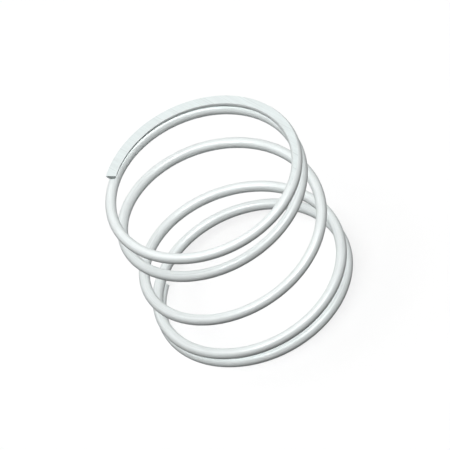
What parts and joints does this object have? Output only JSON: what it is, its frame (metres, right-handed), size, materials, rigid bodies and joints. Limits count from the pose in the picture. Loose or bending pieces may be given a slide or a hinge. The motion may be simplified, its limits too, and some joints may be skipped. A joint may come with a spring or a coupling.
{
  "type": "compression spring",
  "caption": "Cylindrical compression spring of round wire, right-hand wound, with closed ends ground flat.",
  "frame": {"origin": "on the coil's axis, at the lower ground face", "axes": "+Z along the coil's axis towards the upper ground face, +X towards the two cut tips of the wire"},
  "size_m": [0.038, 0.038, 0.0322],
  "materials": {
    "spring_steel": "drawn wire, bright and satin, with ground ends"
  },
  "bodies": {
    "root": {"spring": "spring_steel"}
  },
  "joints": []
}
